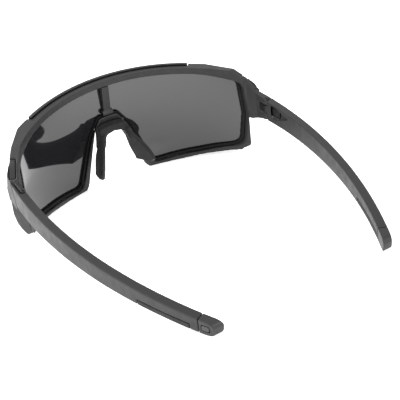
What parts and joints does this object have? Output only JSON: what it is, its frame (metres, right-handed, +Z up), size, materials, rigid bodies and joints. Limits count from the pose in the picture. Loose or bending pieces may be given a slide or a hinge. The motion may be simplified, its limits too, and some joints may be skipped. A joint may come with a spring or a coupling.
{
  "type": "shield sunglasses",
  "caption": "Full-rim shield sunglasses with one wide curved dark lens, a rubber nose saddle, a brow trim bar and two folding temples with rubber grips.",
  "frame": {"origin": "centre of the bounding box's base, on the table that the glasses stand on with the temples open", "axes": "+X towards the wearer's right, +Y out through the lens, +Z up; the front leans about 9 degrees"},
  "size_m": [0.1418, 0.1822, 0.0614],
  "materials": {
    "frame_plastic": "fine matte moulded nylon",
    "trim_plastic": "satin moulded",
    "lens_tint": "polished dark grey with a weak mirror coat",
    "seal_rubber": "smooth black",
    "pad_rubber": "soft matte",
    "steel": "brushed",
    "temple_plastic": "fine matte moulded nylon",
    "tip_plastic": "satin moulded",
    "plate_metal": "grey anodised"
  },
  "bodies": {
    "front": {"front_frame": "frame_plastic", "brow_trim": "trim_plastic", "lens": "lens_tint", "lens_seal": "seal_rubber", "lens_post": "frame_plastic", "nose_pad": "pad_rubber", "hinge_cover_left": "trim_plastic", "hinge_cover_right": "trim_plastic", "hinge_pin_left": "steel", "hinge_pin_right": "steel"},
    "temple_arm_left": {"temple_left": "temple_plastic", "temple_grip_left": "pad_rubber", "temple_tip_left": "tip_plastic", "tip_plate_left": "plate_metal", "hinge_leaf_left": "steel"},
    "temple_arm_right": {"temple_right": "temple_plastic", "temple_grip_right": "pad_rubber", "temple_tip_right": "tip_plastic", "tip_plate_right": "plate_metal", "hinge_leaf_right": "steel"}
  },
  "joints": [
    {"name": "temple_left_fold", "type": "hinge", "parent": "front", "child": "temple_arm_left", "pos_m": [-0.06775, 0.02798, 0.03022], "axis": [0, -0.1587, 0.9873], "range_deg": [0, 88]},
    {"name": "temple_right_fold", "type": "hinge", "parent": "front", "child": "temple_arm_right", "pos_m": [0.06775, 0.02798, 0.03022], "axis": [0, 0.1587, -0.9873], "range_deg": [0, 73]}
  ]
}
